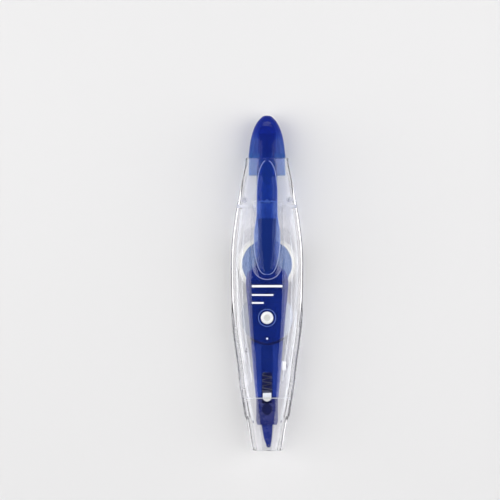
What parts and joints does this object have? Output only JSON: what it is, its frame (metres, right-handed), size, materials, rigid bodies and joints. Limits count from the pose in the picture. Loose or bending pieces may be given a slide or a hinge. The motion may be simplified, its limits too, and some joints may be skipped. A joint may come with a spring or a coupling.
{
  "type": "correction tape roller",
  "caption": "Pen-shaped knock-type correction tape: clear case, sprung reel carriage with a roller tip, push cap and pocket clip.",
  "frame": {"origin": "centre of the bounding box in X and Y, on the flat of the rear shell", "axes": "+Y towards the push cap, +X to the right seen from the clip side, +Z out of the clip side"},
  "size_m": [0.0258, 0.1188, 0.016],
  "materials": {
    "clear_shell": "clear injection-moulded polystyrene, polished",
    "clear_inner": "clear moulded plastic, satin",
    "blue_cap": "translucent deep blue, glossy",
    "blue_spine": "translucent blue, glossy",
    "blue_light": "translucent light blue, satin",
    "blue_dark": "dark blue, glossy",
    "natural": "natural milky acetal, satin",
    "tape_white": "matte white correction film",
    "film_clear": "clear release film",
    "hub_white": "white moulded plastic",
    "steel": "drawn spring wire",
    "rubber": "silicone rubber"
  },
  "bodies": {
    "housing": {"front_shell": "clear_shell", "rear_shell": "clear_shell", "lock_sleeve": "clear_inner", "return_spring": "steel"},
    "pocket_clip": {"clip": "blue_cap"},
    "cap": {"knock_cap": "blue_cap", "push_tube": "blue_spine"},
    "rotor": {"cam_rotor": "blue_spine"},
    "carriage": {"carriage_frame": "clear_inner", "carriage_cover": "blue_spine", "head_block": "blue_dark", "tape_head": "blue_spine", "roller_pin": "steel", "tape_feed": "tape_white", "film_return": "film_clear"},
    "roller": {"tip_roller": "natural"},
    "drive_gear": {"supply_gear": "blue_light", "clutch_ring": "rubber"},
    "supply_reel": {"supply_core": "blue_light", "supply_flange": "blue_light", "tape_roll": "tape_white"},
    "idler": {"idler_gear": "natural"},
    "takeup": {"takeup_reel": "natural", "takeup_flange": "blue_light", "used_film_roll": "film_clear", "hub_cap": "hub_white"}
  },
  "joints": [
    {"name": "knock_slide", "type": "slide", "parent": "housing", "child": "carriage", "axis": [0, -1, 0], "range_m": [0, 0.007], "stiffness_N_per_m": 300, "springref_m": -0.004, "deforming": ["return_spring"]},
    {"name": "cap_slide", "type": "slide", "parent": "housing", "child": "cap", "axis": [0, -1, 0], "range_m": [0, 0.007]},
    {"name": "rotor_turn", "type": "hinge", "parent": "carriage", "child": "rotor", "pos_m": [0, 0.024, 0.0069], "axis": [0, -1, 0], "range_deg": [0, 45]},
    {"name": "clip_flex", "type": "hinge", "parent": "housing", "child": "pocket_clip", "pos_m": [0, 0.0384, 0.0139], "axis": [-1, 0, 0], "range_deg": [0, 5], "stiffness_Nm_per_rad": 0.4, "springref_deg": -2.86},
    {"name": "supply_spin", "type": "hinge", "parent": "carriage", "child": "supply_reel", "pos_m": [0, 0.00666, 0.0075], "axis": [0, 0, 1], "continuous": true},
    {"name": "drive_gear_spin", "type": "hinge", "parent": "carriage", "child": "drive_gear", "pos_m": [0, 0.00666, 0.0035], "axis": [0, 0, 1], "continuous": true},
    {"name": "idler_spin", "type": "hinge", "parent": "carriage", "child": "idler", "pos_m": [0, -0.00559, 0.0035], "axis": [0, 0, 1], "continuous": true},
    {"name": "takeup_spin", "type": "hinge", "parent": "carriage", "child": "takeup", "pos_m": [0, -0.01234, 0.0075], "axis": [0, 0, 1], "continuous": true},
    {"name": "tip_roller_spin", "type": "hinge", "parent": "carriage", "child": "roller", "pos_m": [0.0005, -0.0575, 0.0075], "axis": [0, 0, 1], "continuous": true}
  ],
  "couplings": [
    {"joint": "cap_slide", "follows": "knock_slide", "ratio": 1},
    {"joint": "rotor_turn", "follows": "knock_slide", "rad_per_m": 112},
    {"joint": "drive_gear_spin", "follows": "supply_spin", "ratio": 1},
    {"joint": "idler_spin", "follows": "supply_spin", "ratio": -3.4545},
    {"joint": "takeup_spin", "follows": "supply_spin", "ratio": 2.375},
    {"joint": "tip_roller_spin", "follows": "supply_spin", "ratio": 12.875}
  ]
}
